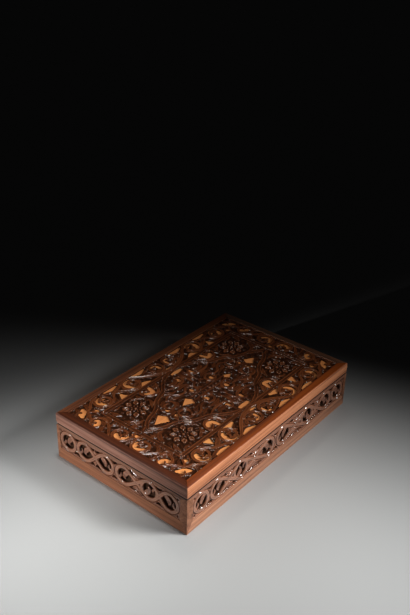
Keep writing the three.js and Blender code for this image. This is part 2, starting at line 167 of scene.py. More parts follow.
gridRules = {
    "cornerPasses": 4,
    "growPasses": 8,  # between two counts of the cells that hold together
    "leastSlope": 0.25,
    "slideLimit": 0.45,  # of a cell
    "edgeMargin": 1e-6,
}


def gridCells(index):
    # the four points of each cell of a grid, going round
    return np.stack([index[:-1, :-1], index[1:, :-1], index[1:, 1:], index[:-1, 1:]], -1)


def wholeCells(keep, rules):
    # cells that touch only at a corner get a third beside them, and then only what is
    # joined to the board's edge stays
    for _ in range(rules["cornerPasses"]):
        cross = keep[:-1, :-1] & keep[1:, 1:] & ~keep[1:, :-1] & ~keep[:-1, 1:]
        other = ~keep[:-1, :-1] & ~keep[1:, 1:] & keep[1:, :-1] & keep[:-1, 1:]
        keep[1:, :-1] |= cross
        keep[:-1, :-1] |= other
    held = np.zeros_like(keep)
    held[0], held[-1], held[:, 0], held[:, -1] = keep[0], keep[-1], keep[:, 0], keep[:, -1]
    count = 0
    while held.sum() != count:
        count = held.sum()
        for _ in range(rules["growPasses"]):
            grown = held.copy()
            grown[1:] |= held[:-1]
            grown[:-1] |= held[1:]
            grown[:, 1:] |= held[:, :-1]
            grown[:, :-1] |= held[:, 1:]
            held = grown & keep
    return held


def wallPairs(keep, cells):
    # the two points of every side of a kept cell that has no kept cell beyond it
    padded = np.pad(keep, 1)
    rows, columns = keep.shape
    pairs = []
    for x, y, first, second in ((0, 1, 3, 0), (2, 1, 1, 2), (1, 0, 0, 1), (1, 2, 2, 3)):
        beyond = padded[x:x + rows, y:y + columns]
        pairs.append(cells[keep & ~beyond][:, [first, second]])
    return np.vstack(pairs)


def slideToOutline(spots, gap, shape, rim, sizes, rules):
    # points beside an opening move along the slope of the signed distance, by that
    # distance, onto the outline; those on the board's own edge stay
    slope = np.stack([s.ravel() for s in np.gradient(gap.reshape(shape), sizes["cell"])], 1)
    low = np.array([sizes["x0"], sizes["y0"]])
    high = np.array([sizes["x1"], sizes["y1"]])
    toEdge = np.minimum(np.abs(spots - low), np.abs(spots - high)).min(1)
    rim = rim[toEdge[rim] >= rules["edgeMargin"]]
    steep = np.maximum((slope[rim] ** 2).sum(1), rules["leastSlope"])[:, None]
    limit = rules["slideLimit"] * sizes["cell"]
    spots[rim] += np.clip(-gap[rim][:, None] * slope[rim] / steep, -limit, limit)


def piercedMesh(name, sizes, relief):
    # a board on a grid in two parameters, with height and openings from relief(spots):
    # cells whose middle lies in an opening are left out, the points along an opening
    # slide onto its outline, and walls close the edges. Returns points and faces in
    # the board's own millimetres, top side up.
    shape = [int(round((sizes[b] - sizes[a]) / sizes["cell"])) + 1 for a, b in (("x0", "x1"), ("y0", "y1"))]
    gx, gy = np.meshgrid(np.linspace(sizes["x0"], sizes["x1"], shape[0]),
                         np.linspace(sizes["y0"], sizes["y1"], shape[1]), indexing="ij")
    spots = np.stack([gx.ravel(), gy.ravel()], 1)
    height, gap = relief(spots)
    g = gap.reshape(shape)
    middle = (g[:-1, :-1] + g[1:, :-1] + g[:-1, 1:] + g[1:, 1:]) / 4
    keep = wholeCells(middle > 0, gridRules)
    cells = gridCells(np.arange(len(spots)).reshape(shape))
    quads = cells[keep]
    walls = wallPairs(keep, cells)
    slideToOutline(spots, gap, shape, np.unique(walls), sizes, gridRules)
    used = np.zeros(len(spots), bool)
    used[quads] = True
    number = np.cumsum(used) - 1
    n = used.sum()
    top = np.column_stack([spots[used], sizes["ground"] + height[used]])
    low = np.column_stack([spots[used], np.full(n, sizes["back"])])
    quads, walls = number[quads], number[walls]
    faces = np.vstack([quads, quads[:, ::-1] + n,
                       np.column_stack([walls[:, 1], walls[:, 0], walls[:, 0] + n, walls[:, 1] + n])])
    return {
        "name": name,
        "points": np.vstack([top, low]),
        "faces": faces,
        "smooth": np.arange(len(faces)) < len(quads),  # the carved side only
        "depth": np.concatenate([height[used] / sizes["rise"], np.zeros(n)]),
    }


def addMesh(made, place, material, body, stands):
    # puts worked-out points into a mesh in the shared frame; place turns millimetres
    # of the board into metres of the box
    matrix = np.array(place)
    points = made["points"] * mm @ matrix[:3, :3].T + matrix[:3, 3]
    faces = made["faces"] if np.linalg.det(matrix[:3, :3]) > 0 else made["faces"][:, ::-1]
    mesh = bpy.data.meshes.new(made["name"])
    mesh.vertices.add(len(points))
    mesh.vertices.foreach_set("co", points.ravel())
    mesh.loops.add(faces.size)
    mesh.loops.foreach_set("vertex_index", faces.ravel().astype(np.int32))
    mesh.polygons.add(len(faces))
    mesh.polygons.foreach_set("loop_start", np.arange(0, faces.size, faces.shape[1], dtype=np.int32))
    mesh.polygons.foreach_set("use_smooth", made["smooth"])
    mesh.attributes.new("depth", "FLOAT", "POINT").data.foreach_set("value", made["depth"])
    mesh.update(calc_edges=True)
    mesh.validate()
    return addPiece(mesh, material, body, stands)


def addPiece(mesh, material, body, stands):
    # stands names the CAD nodes that the piece takes the place of
    piece = bpy.data.objects.new(mesh.name, mesh)
    bpy.context.scene.collection.objects.link(piece)
    mesh.materials.clear()
    mesh.materials.append(material)
    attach(piece, body)
    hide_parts(*stands)
    return piece


# Materials


class Maths:
    # a socket whose arithmetic makes Math nodes
    def __init__(self, maker, socket):
        self.maker, self.socket = maker, socket

    def made(self, operation, other=None, swap=False):
        values = [self] if other is None else [other, self] if swap else [self, other]
        return Maths(self.maker, self.maker.node("ShaderNodeMath", {"operation": operation},
                                                 dict(enumerate(values))).outputs[0])

    def __add__(self, other):
        return self.made("ADD", other)

    def __sub__(self, other):
        return self.made("SUBTRACT", other)

    def __rsub__(self, other):
        return self.made("SUBTRACT", other, swap=True)

    def __mul__(self, other):
        return self.made("MULTIPLY", other)

    __radd__ = __add__
    __rmul__ = __mul__

    def between(self, low, high):
        # 0 at low and 1 at high, with soft ends
        return Maths(self.maker, self.maker.node(
            "ShaderNodeMapRange", {"interpolation_type": "SMOOTHSTEP"},
            {"Value": self, "From Min": low, "From Max": high}).outputs[0])


class Finish:
    # one material and its nodes
    def __init__(self, name):
        self.material = bpy.data.materials.new(name)
        self.material.use_nodes = True
        self.tree = self.material.node_tree
        self.shader = self.tree.nodes["Principled BSDF"]
        self.spots = self.node("ShaderNodeTexCoord").outputs["Object"]

    def plug(self, socket, value):
        # a link or a fixed value
        if isinstance(value, Maths):
            value = value.socket
        if isinstance(value, bpy.types.NodeSocket):
            self.tree.links.new(value, socket)
        else:
            socket.default_value = value

    def node(self, kind, settings=None, inputs=None):
        made = self.tree.nodes.new(kind)
        for key, value in (settings or {}).items():
            setattr(made, key, value)
        for key, value in (inputs or {}).items():
            self.plug(made.inputs[key], value)
        return made

    def noise(self, stretch, detail=3.0, roughness=0.5, distortion=0.0, turn=0.0, shift=(0, 0, 0)):
        # noise on the place in millimetres, turned about Z and then stretched
        turned = self.node("ShaderNodeMapping", {}, {
            "Vector": self.spots, "Location": shift, "Rotation": (0, 0, math.radians(turn)),
            "Scale": (1 / mm, 1 / mm, 1 / mm)}).outputs[0]
        place = self.node("ShaderNodeVectorMath", {"operation": "MULTIPLY"}, {0: turned, 1: stretch})
        return Maths(self, self.node("ShaderNodeTexNoise", {}, {
            "Vector": place.outputs[0], "Scale": 1.0, "Detail": detail, "Roughness": roughness,
            "Distortion": distortion}).outputs["Fac"])

    def blend(self, factor, first, second, kind="MIX"):
        return self.node("ShaderNodeMix", {"data_type": "RGBA", "blend_type": kind},
                         {0: factor, 6: first, 7: second}).outputs[2]

    def ramp(self, factor, stops):
        made = self.node("ShaderNodeValToRGB", {}, {0: factor})
        points = made.color_ramp.elements
        while len(points) < len(stops):
            points.new(0.5)
        for point, (place, colour) in zip(points, stops):
            point.position = place
            point.color = (*colour, 1)
        return made.outputs[0]

    def attribute(self, name):
        return Maths(self, self.node("ShaderNodeAttribute", {"attribute_name": name}).outputs["Fac"])

    def finish(self, colour, roughness, height, bump, sockets):
        # bump: its strength and distance; sockets: the values of any others
        raised = self.node("ShaderNodeBump", {}, {"Height": height, "Strength": bump[0], "Distance": bump[1]})
        common = {"Base Color": colour, "Roughness": roughness, "Normal": raised.outputs[0]}
        for key, value in (common | sockets).items():
            self.plug(self.shader.inputs[key], value)
        return self.material


rosewoodGrain = {
    # the stretch of each layer of noise along and across the grain, then its detail,
    # roughness and distortion
    "broad": ((0.004, 0.16, 0.16), 2, 0.5, 0.3),
    "streaks": ((0.012, 0.55, 0.55), 4, 0.6, 0.2),
    "fine": ((0.05, 2.6, 2.6), 3, 0.6, 0.0),
    "pores": ((0.22, 5.5, 5.5), 1, 0.5, 0.0),
    "mix": (0.45, 0.4, 0.15),  # broad, streaks and fine in the colour
    "stops": (0.33, 0.47, 0.66),
    "poreEdge": (0.66, 0.78),
    "poreShare": 0.5,
    "poreColour": (0.03, 0.012, 0.008, 1),
    "roughness": (0.14, 0.2),  # what fine and pores add
    "height": (0.3, 0.2),  # what fine and streaks add to the surface
    "bump": (0.25, 0.00012),  # strength and distance
    "shift": (1.0, 1.7, 0.6),
}
rosewoodLook = {
    "dark": (0.08, 0.026, 0.012),
    "mid": (0.29, 0.10, 0.042),
    "light": (0.48, 0.185, 0.08),
    "roughness": 0.48,
    "coat": 0.05,
    "coatIor": 1.5,
    "coatRoughness": 0.3,
    "specular": 0.2,
}
lidCarvingLook = {
    "dark": (0.044, 0.0115, 0.0034),
    "mid": (0.130, 0.031, 0.0075),
    "light": (0.24, 0.066, 0.018),
    # the low places take a painted shade colour; the high places take a painted highlight colour, partly also
    # rubbed lighter by use
    "recessShade": (0.027, 0.0078, 0.0024, 1),
    "wornAndHighlight": (0.30, 0.13, 0.062, 1),
    "wearAndHighlight": 0.55,
    "roughness": 0.48,
    "recessRoughness": 0.35,
    "shaded": 0.8,  # depth, as a share of the full height, below which it darkens
    "high": (0.8, 1.0),
    "coated": (0.02, 0.3),
    "coat": 0.8,
    "coatIor": 1.75,
    "coatRoughness": 0.14,
    "specular": 0.05,
}
# the sides' carving in lighter colours than the lid's, partly painted light for the sides as the lamps lit
# them; its low and high places are painted as the lid's are
sideCarvingLook = dict(lidCarvingLook, dark=(0.08, 0.028, 0.014), mid=(0.25, 0.094, 0.049),
                       light=(0.42, 0.168, 0.093), recessShade=(0.09, 0.033, 0.017, 1),
                       wornAndHighlight=(0.46, 0.22, 0.13, 1), wearAndHighlight=0.45, shaded=0.6)
seamAndRimShadeLook = {
    # painted shadow line along the seam between lid and body, and where the painted shade of the lid's top
    # begins; heights and distances in metres
    "seam": 0.0492,
    "seamFade": (0.0005, 0.0013),
    "outsideFade": (-0.0012, -0.0004),
    # the colour of the painted shadow line
    "colour": (0.02, 0.009, 0.006, 1),
    "rimFade": (-0.0011, -0.0003),
}


def rosewood(name, turn, look, tint, shift):
    # straight dark streaks along the grain, broad colour bands and short open pores.
    # Returns the finish, and its colour, roughness and surface height so far.
    wood = Finish(name)
    grain = rosewoodGrain
    offset = tuple(shift * v for v in grain["shift"])
    broad, streaks, fine, pores = (wood.noise(*grain[layer], turn, offset)
                                   for layer in ("broad", "streaks", "fine", "pores"))
    pores = pores.between(*grain["poreEdge"])
    colours = [tuple(v * t for v, t in zip(look[key], tint)) for key in ("dark", "mid", "light")]
    first, second, third = grain["mix"]
    colour = wood.ramp(broad * first + streaks * second + fine * third, list(zip(grain["stops"], colours)))
    colour = wood.blend(pores * grain["poreShare"], colour, grain["poreColour"])
    roughness = look["roughness"] + fine * grain["roughness"][0] + pores * grain["roughness"][1]
    height = fine * grain["height"][0] + streaks * grain["height"][1] - pores
    return wood, colour, roughness, height


def polished(wood, look, colour, roughness, height, coat):
    return wood.finish(colour, roughness, height, rosewoodGrain["bump"], {
        "Coat Weight": coat, "Coat Roughness": look["coatRoughness"], "Coat IOR": look["coatIor"],
        "Specular IOR Level": look["specular"]})


def carvedRosewood(name, turn, look, shift, tint=(1, 1, 1)):
    # darker and duller in the recesses, the colour there a painted shade; the high places lighter, a painted
    # highlight that is partly also rubbing
    wood, colour, roughness, height = rosewood(name, turn, look, tint, shift)
    depth = wood.attribute("depth")
    low = depth.between(0.0, look["shaded"])
    # painted shade: the low places darkened
    colour = wood.blend(1 - low, colour, look["recessShade"])
    # painted highlight, partly also rubbing: the high places lightened
    colour = wood.blend(depth.between(*look["high"]) * look["wearAndHighlight"], colour, look["wornAndHighlight"])
    roughness = roughness + look["recessRoughness"] - low * look["recessRoughness"]
    return polished(wood, look, colour, roughness, height, depth.between(*look["coated"]) * look["coat"])


def boardRosewood(name, turn, shift, tint, top=(1, 1, 1)):
    # a painted shadow line where the lid meets the body, and a top face darkened by patina and by painted
    # shade
    look, seamAndRimShade = rosewoodLook, seamAndRimShadeLook
    wood, colour, roughness, height = rosewood(name, turn, look, tint, shift)
    axes = wood.node("ShaderNodeSeparateXYZ", {}, {0: wood.spots}).outputs
    x, y, z = (Maths(wood, axes[k]) for k in "XYZ")
    # painted shadow line at the seam, on the outer faces only
    seam = 1 - (z - seamAndRimShade["seam"]).made("ABSOLUTE").between(*seamAndRimShade["seamFade"])
    beyondX = x.made("ABSOLUTE") - cadHigh.x
    beyondY = y.made("ABSOLUTE") - cadHigh.y
    outside = beyondX.made("MAXIMUM", beyondY).between(*seamAndRimShade["outsideFade"])
    colour = wood.blend(seam * outside, colour, seamAndRimShade["colour"])
    # the top face's colour multiplied by the rim's patina and painted shade
    patinaAndShadeTop = wood.blend(1.0, colour, (*top, 1), "MULTIPLY")
    colour = wood.blend(z.between(*(cadHigh.z + v for v in seamAndRimShade["rimFade"])), colour, patinaAndShadeTop)
    return polished(wood, look, colour, roughness, height, look["coat"])


paleWoodLook = {
    "broad": (0.006, 0.06, 0.06),
    "lines": (0.02, 1.1, 1.1),
    "mix": (0.4, 0.6),
    "stops": [(0.3, (0.62, 0.195, 0.045)), (0.5, (0.82, 0.285, 0.072)), (0.7, (0.93, 0.39, 0.11))],
    "roughness": (0.5, 0.12),
    "bump": (0.2, 0.0001),
    "coat": 0.1,
    "coatRoughness": 0.4,
}


def paleWood(name, look):
    # plain close-grained wood with faint darker lines
    wood = Finish(name)
    lines = wood.noise(look["lines"], 4, 0.6)
    mixed = wood.noise(look["broad"], 2) * look["mix"][0] + lines * look["mix"][1]
    roughness = look["roughness"][0] + lines * look["roughness"][1]
    return wood.finish(wood.ramp(mixed, look["stops"]), roughness, lines, look["bump"],
                       {"Coat Weight": look["coat"], "Coat Roughness": look["coatRoughness"]})


liningLook = {
    "lines": (0.02, 0.9, 0.9),
    "stops": [(0.3, (0.022, 0.009, 0.004)), (0.7, (0.055, 0.024, 0.011))],
    "roughness": (0.7, 0.1),
    "bump": (0.2, 0.0001),
    "specular": 0.1,
}


def liningWood(name, turn, look):
    # dark thin board, nearly matt
    wood = Finish(name)
    lines = wood.noise(look["lines"], 4, 0.6, turn=turn)
    roughness = look["roughness"][0] + lines * look["roughness"][1]
    return wood.finish(wood.ramp(lines, look["stops"]), roughness, lines, look["bump"],
                       {"Specular IOR Level": look["specular"]})


brassLook = {
    "patches": (0.25, 0.25, 0.25),
    "patchEdge": (0.35, 0.7),
    "scratches": (0.4, 7.0, 7.0),
    "brown": (0.32, 0.19, 0.07, 1),
    "bright": (0.66, 0.47, 0.2, 1),
    "roughness": (0.5, 0.2, 0.1),  # in all, less on the patches, more in the scratches
    "bump": (0.15, 0.00005),
}


def agedBrass(name, look):
    # dull brass with brighter patches and fine scratches
    brass = Finish(name)
    patches = brass.noise(look["patches"], 4, 0.6).between(*look["patchEdge"])
    scratches = brass.noise(look["scratches"], 2)
    base, less, more = look["roughness"]
    colour = brass.blend(patches, look["brown"], look["bright"])
    roughness = base - patches * less + scratches * more
    return brass.finish(colour, roughness, scratches, look["bump"], {"Metallic": 1.0})


lidCarvingMaterial = carvedRosewood("rosewood_lid_carving", 0, lidCarvingLook, 3.0)
sideCarvingMaterials = {
    0: carvedRosewood("rosewood_long_carving", 0, sideCarvingLook, 5.0),
    # the short sides' carving darkened by a tint of 0.8: painted shade for the short sides as the lamps lit
    # them
    90: carvedRosewood("rosewood_short_carving", 90, sideCarvingLook, 9.0, (0.8, 0.8, 0.8)),
}
brassMaterial = agedBrass("aged_brass", brassLook)
backingMaterial = paleWood("pale_backing", paleWoodLook)
liningMaterials = {turn: liningWood("dark_lining_" + name, turn, liningLook)
                   for turn, name in ((0, "long"), (90, "short"))}
print("materials made")

# Lid carving

lidHalf = {"x": cadHigh.x / mm, "y": cadHigh.y / mm}
lidLow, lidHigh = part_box("lid_fretwork")
lidPanel = {
    # one quarter, in millimetres from the lid's outer corner
    "cell": 0.55,
    "x0": lidHalf["x"] - lidHigh.x / mm,
    "x1": lidHalf["x"],
    "y0": lidHalf["y"] - lidHigh.y / mm,
    "y1": lidHalf["y"],
    "rise": 1.5,
    "ground": lidHigh.z / mm - 1.95,
    "back": lidLow.z / mm,
    "widen": 1.2,  # what the openings gain all round
    "cutIn": 0.5,  # what they may take from stems and straps
    "leaf": 1.35,
    "stem": 1.1,
    "leafShare": 0.85,
    "toolMarks": 0.05,
}


def stroke(kind, points, halfWidths, share=1.0):
    # smooth curve through the points, its half widths along the way, share of the full height
    return kind, smoothPath(points), halfWidths, share


def leaf(points, halfWidths, share=1.0):
    return stroke("leaf", points, halfWidths, share)


def stem(points, halfWidths):
    return stroke("stem", points, halfWidths)


def coil(centre, radii, degrees, halfWidths):
    return "stem", coilPath(centre, radii, degrees), halfWidths, 1.0


def dot(centre, radius, share):
    # round bead: a stroke of hardly any length
    x, y = centre
    return stroke("bead", [(x, y), (x + 0.01, y)], [radius, radius], share)


def broadened(strokes, size):
    # the leaves and stems of the lid a little wider, the leaves lower than the stems, and
    # the stems with a groove along their middle
    wider = {"leaf": size["leaf"], "stem": size["stem"]}
    lower = {"leaf": size["leafShare"]}
    return [("vine" if kind == "stem" else kind, path, [w * wider.get(kind, 1) for w in halfWidths],
             share * lower.get(kind, 1)) for kind, path, halfWidths, share in strokes]


straps = {
    "overrun": 4,  # past the lid's middle lines
    "filletStart": 8,
    "fillet": 9.6,
    "filletHalf": 1.7,
    "frameX": 37.2,
    "frameY": 41.2,
    "frameShare": 0.96,
    "flatHalf": 2.9,
    "lozenge": [(43.5, 101), (50, 98.2), (57, 92.2), (66, 88), (76, 85.2), (86, 80.2), (95, 72),
                (105, 67.8), (116, 63.6), (125.5, 55), (136, 47.5), (148, 42.8), (160, 39.5)],
    "lozengeHalf": [2.9, 2.9, 2.9, 2.6],
}


def frameStrokes(panel, size):
    # edge fillet, inner frame of flat strap and the lozenge, of one quarter
    endX, endY = panel["x1"] + size["overrun"], panel["y1"] + size["overrun"]
    start, edge, x, y = size["filletStart"], size["fillet"], size["frameX"], size["frameY"]
    fillet, flat, share = [size["filletHalf"]] * 2, [size["flatHalf"]] * 2, size["frameShare"]
    return [
        stroke("strap", [(start, edge), (endX, edge)], fillet),
        stroke("strap", [(edge, start), (edge, endY)], fillet),
        stroke("strap", [(x, y), (endX, y)], flat, share),
        stroke("strap", [(x, y), (x, endY)], flat, share),
        stroke("strap", size["lozenge"], size["lozengeHalf"]),
    ]


longBorder = [
    # running scroll of the long border: coils, the stems between them and their leaves
    stem([(26, 25.5), (33, 23.5), (38.5, 18), (44.5, 13.8), (50, 12.6)], [1.2, 1.9, 2.1]),
    coil((53.5, 24.3), [11.7, 11.2, 11, 10, 7, 4.5], [265, 190, 110, 30, -60, -150],
         [2.1, 2.1, 2.2, 2, 1.6]),
    leaf([(62, 28), (57.5, 29.5), (53, 27.5), (52.5, 23.5)], [1.2, 3, 3.2, 1]),
    stem([(60, 35.3), (65.5, 31), (70, 25), (77, 20.5), (86, 17.4), (92.5, 13.6), (101, 11.6)],
         [1.4, 1.9, 2, 2]),
    leaf([(73, 22), (80, 24.5), (86.5, 29.5), (88, 34)], [1, 2.6, 2.4, 0.8]),
    leaf([(57, 14), (64, 15.2), (70, 17.5), (76, 20.5)], [0.8, 2.2, 1.8, 0.8]),
    coil((102, 24.2), [12.6, 12.3, 12, 10.5, 7.5, 5], [268, 190, 110, 30, -50, -130],
         [2.1, 2.2, 2.3, 2, 1.6]),
    leaf([(111, 28), (105.5, 30.5), (100.5, 28), (101.5, 23)], [1.2, 3.4, 3.4, 1]),
    leaf([(98, 31.5), (98.2, 27.5), (101, 24)], [1, 2.4, 0.8]),
    stem([(99, 11.8), (107, 12.2), (113.5, 16.2), (121, 22.8), (129, 29), (137.5, 33.8),
          (148, 37), (160, 39.5)], [1.9, 2.3, 2.4, 2.6, 3]),
    leaf([(116, 24), (112.5, 26.5), (109, 23.2)], [0.9, 2.4, 0.9]),
    leaf([(125, 21), (127.5, 24.5), (130.5, 27.5)], [0.9, 2.2, 0.9]),
    leaf([(131, 19.5), (133, 23.5), (136.5, 27.2)], [1, 2.4, 0.9]),
    stem([(123, 21.5), (130, 18.8), (136, 17.5), (140, 14)], [1, 1.5, 1]),
    coil((146.3, 23.2), [11.5, 11.2, 10.8, 10.2, 8, 6.5], [150, 80, 10, -60, -150, -215],
         [1.9, 2.1, 2.1, 1.8, 1.3]),
    leaf([(138.8, 27), (140.5, 21.5), (144.5, 18.8), (147.5, 21.5)], [1.2, 2.6, 2.6, 0.9]),
    leaf([(143.5, 29.5), (148.5, 28.5), (150, 24)], [1, 2.2, 0.8]),
]

cornerPalmette = [
    # palmette that points into the corner, with its stems
    leaf([(26, 26.5), (23.5, 31.5), (18, 35), (12.8, 33.4)], [1, 2.5, 2.3, 0.9]),
    leaf([(26.8, 25.2), (31, 22), (33, 16.5), (31.2, 12.2)], [1, 2.4, 2.2, 0.9]),
    leaf([(19.4, 21.8), (15.8, 20.6), (12, 19.6)], [0.9, 2.6, 1.2]),
    leaf([(19.8, 21.2), (19.6, 17.4), (20.5, 12.6)], [0.9, 2, 1.2]),
    leaf([(25.8, 27), (26.8, 25)], [2.2, 2.2]),
    stem([(26, 27), (30, 30.5), (33.6, 36)], [1.3, 1.6, 1.6]),
    leaf([(31, 31), (36, 30), (40, 33), (43, 37)], [0.8, 1.8, 1.6, 0.8]),
]

shortBorder = [
    # the same scroll along the short border, and the leaf in its middle
    stem([(25, 27), (22.5, 34), (18.5, 39.3), (14.5, 42.6)], [1.2, 1.7, 1.5]),
    stem([(11, 75), (17.5, 69.5), (23.8, 63.6), (27.6, 56)], [1.6, 2.1, 2]),
    coil((19.2, 50.4), [10.2, 9.8, 9.4, 8.6, 6.5], [35, -30, -100, -180, -240], [2, 2, 1.9, 1.6, 1.1]),
    leaf([(20, 60), (23, 55.5), (21.5, 51), (18, 53.5)], [1, 2.2, 2, 0.8]),
    leaf([(18, 43.5), (16.3, 46.3), (17.6, 49)], [1, 2.2, 0.9]),
    leaf([(11, 64), (14, 61), (18.5, 60.8), (20, 64)], [0.8, 2, 1.8, 0.8]),
    leaf([(23, 66), (29, 66.5), (32.5, 71), (31.8, 76)], [0.8, 1.9, 1.6, 0.8]),
    leaf([(27, 59.5), (31.3, 57.5), (32.4, 52), (30, 47.5)], [1, 2.6, 2.2, 0.8]),
    stem([(33, 96), (26, 98.2), (18.5, 96.8)], [1.4, 1.8, 1.9]),
    coil((21.6, 86), [11.2, 11, 10.8, 10, 7.5, 5], [100, 165, 230, 300, 370, 440],
         [1.9, 2.1, 2.1, 1.9, 1.3]),
    leaf([(30, 80), (25.5, 79), (20.8, 81.5), (21.5, 86)], [1, 2.6, 3, 1]),
    leaf([(27, 92.5), (23.8, 90), (25.5, 86)], [0.8, 1.8, 0.8]),
    leaf([(12.5, 101), (20, 101), (27.5, 101)], [1, 2.6, 0.9]),
]

rosette = {
    # each part's distances from the centre, half widths and share of the height
    "centre": (68, 64),
    "heart": 2.3,
    "petals": 8,
    "petal": ((9.4, 11.6, 13.8), (1.95, 3.354, 3.9, 3.9, 3.51, 2.418), 1.05),
    "sepal": ((16.6, 19.4), (1.3, 0.8), 0.7),
    "stamen": ((3.9, 5.8), (0.7, 1.15), 0.9),
}


def rosetteStrokes(size):
    # a heart and its petals, with stamens and the tips of sepals between the petals
    centre = np.array(size["centre"], float)
    made = [dot(centre, size["heart"], 1.0)]
    for part, kind, offset in (("petal", "petal", 0), ("sepal", "leaf", 0.5), ("stamen", "bead", 0.5)):
        distances, halfWidths, share = size[part]
        for k in range(size["petals"]):
            turn = math.tau * (k + offset) / size["petals"]
            away = np.array([math.cos(turn), math.sin(turn)])
            made.append(stroke(kind, [centre + d * away for d in distances], halfWidths, share))
    return made


fieldLeaves = [
    # comma leaf, leaves round the rosette, the foliage inside the lozenge and a row of beads
    stem([(122, 46), (118, 53), (111.5, 60), (102, 60.6), (95, 55), (93.4, 47.5), (97, 43.6)],
         [1.2, 2, 2.2, 1.8, 1.2]),
    leaf([(95.8, 44.6), (99.5, 49.5), (104, 49.4), (105.4, 44.6)], [1.2, 3, 2.6, 1]),
    leaf([(112, 44.8), (114.8, 50.5), (119, 46)], [1, 2.6, 1]),
    leaf([(92, 62), (90, 69), (83, 76)], [1, 2.4, 1]),
    leaf([(87, 46.5), (86.6, 52), (89.6, 58)], [1, 2.2, 0.8]),
    leaf([(42.5, 71), (45.5, 79), (51.5, 85.5), (58, 86)], [1, 2.6, 2.2, 0.8]),
    leaf([(43, 92), (43, 85), (45.5, 79.5)], [0.8, 2.2, 0.8]),
    leaf([(43.6, 47.5), (44.6, 55), (47.6, 61)], [1.2, 2.6, 1]),
    leaf([(49, 47), (54, 47.6), (58, 47)], [0.8, 1.4, 0.8]),
    leaf([(76, 47.2), (81, 49.2), (85.5, 54)], [0.8, 1.8, 0.8]),
    coil((98.5, 88.5), [8.6, 8.2, 7.4, 5, 3], [-60, 30, 120, 210, 300], [1.5, 1.7, 1.6, 1.1]),
    leaf([(104, 79.5), (99, 79.5), (93.4, 82.8), (90.4, 88)], [0.8, 2, 2.2, 0.9]),
    leaf([(84.5, 97.5), (89.5, 99.4), (97, 98.4)], [0.8, 2, 0.8]),
    leaf([(84.6, 86), (86, 90), (86.6, 95)], [0.8, 2.2, 0.8]),
    stem([(103, 80.5), (109.5, 76.5), (117, 78.5), (124, 84.6), (132.5, 86.2)], [1.2, 1.6, 1.8, 1.4]),
    leaf([(110, 78.5), (113, 84), (119.5, 86.8)], [0.8, 2.6, 0.9]),
    leaf([(107.5, 88), (107.8, 93), (104.5, 98)], [0.9, 2.4, 0.9]),
    coil((141, 88.4), [8.8, 8.4, 7.6, 6, 3.6], [200, 290, 380, 470, 560], [1.5, 1.9, 1.8, 1.2]),
    leaf([(147, 93), (151, 91.6), (156, 93.4)], [1, 2, 0.8]),
    leaf([(150.5, 84), (155, 81), (158.4, 84.8)], [0.8, 2, 0.9]),
    leaf([(128.5, 76.3), (136, 74.6), (143.5, 75.2), (149, 79)], [0.8, 2.2, 2.2, 0.8]),
    leaf([(112, 70.2), (119, 74.6), (126.4, 75.4)], [0.8, 2, 0.8]),
    stem([(119.5, 65.6), (128, 68.4), (138, 69.4), (147.5, 67.6), (152, 63), (150.8, 57.4), (146, 55)],
         [1, 1.9, 2.3, 2.1, 1.3]),
    leaf([(128.6, 57), (131, 61.6), (137, 63), (142.5, 60.2), (144, 55)], [0.9, 2.4, 2.8, 2.4, 1]),
    leaf([(160, 53.5), (160, 62), (160, 74)], [1.2, 4.4, 1.2]),
    stem([(156, 79.5), (156.4, 71), (154.8, 62.5), (156.5, 53.5)], [0.8, 1.4, 1.6, 1.2]),
    stem([(127.5, 97.4), (137, 97.6), (148, 97.4), (154, 97.6), (160, 97.4)], [0.9, 1.3, 1.2]),
    dot((160, 101), 2.8, 0.9),
] + [dot((x, 101), 1.7, 0.85) for x in (131.5, 139, 146.5, 153.3)]

filler = {
    "seed": 7,
    "spacing": 5.6,
    "start": 12,
    "endX": 162,
    "endY": 103,
    "stray": 1.6,
    "clear": 19.5,  # kept free round the rosette's centre
    "waveX": (2.6, 15),  # the direction's swing and its length along and across the panel
    "waveY": (2.2, 12),
    "turnStray": 0.5,
    "length": (7, 12),
    "width": (1.2, 2.1),
    "share": (0.4, 0.62),
    "bend": 2.2,
    "tips": (0.7, 0.5),
}


def fillerStrokes(size):
    # low leaves that cover the ground between the others; they follow a direction that
    # turns slowly over the panel
    random = np.random.default_rng(size["seed"])
    (swingX, waveX), (swingY, waveY) = size["waveX"], size["waveY"]
    made = []
    for x in np.arange(size["start"], size["endX"], size["spacing"]):
        for y in np.arange(size["start"], size["endY"], size["spacing"]):
            spot = np.array([x, y]) + random.uniform(-size["stray"], size["stray"], 2)
            if np.hypot(*(spot - rosette["centre"])) < size["clear"]:
                continue
            turn = swingX * math.sin(x / waveX) + swingY * math.cos(y / waveY)
            turn += random.uniform(-size["turnStray"], size["turnStray"])
            along = np.array([math.cos(turn), math.sin(turn)])
            across = np.array([-along[1], along[0]])
            length, width, share = (random.uniform(*size[k]) for k in ("length", "width", "share"))
            bend = random.uniform(-size["bend"], size["bend"])
            points = [spot - along * length / 2, spot + across * bend, spot + along * length / 2]
            made.append(leaf(points, [size["tips"][0], width, width, size["tips"][1]], share))
    return made


crescentTeeth = [
    # leaf tips that reach out over the middle of the crescent openings
    stem(points, [1.2, 1.5, 0.9]) for points in (
        [(54, 24.4), (52.6, 22.4), (51.6, 20.4)], [(102.3, 24.3), (100, 22), (98.4, 20.2)],
        [(146.3, 22.8), (148.2, 21), (149.6, 19.4)], [(21.6, 86), (19.2, 87.2), (17.4, 88.2)],
        [(103.4, 48.6), (104, 50.4), (104.6, 52)], [(19, 19), (20.2, 20.6), (21.2, 22)],
        [(17.6, 46), (18.4, 47.4), (19.2, 48.6)])]


def cut(points, halfWidths):
    return smoothPath(points), halfWidths


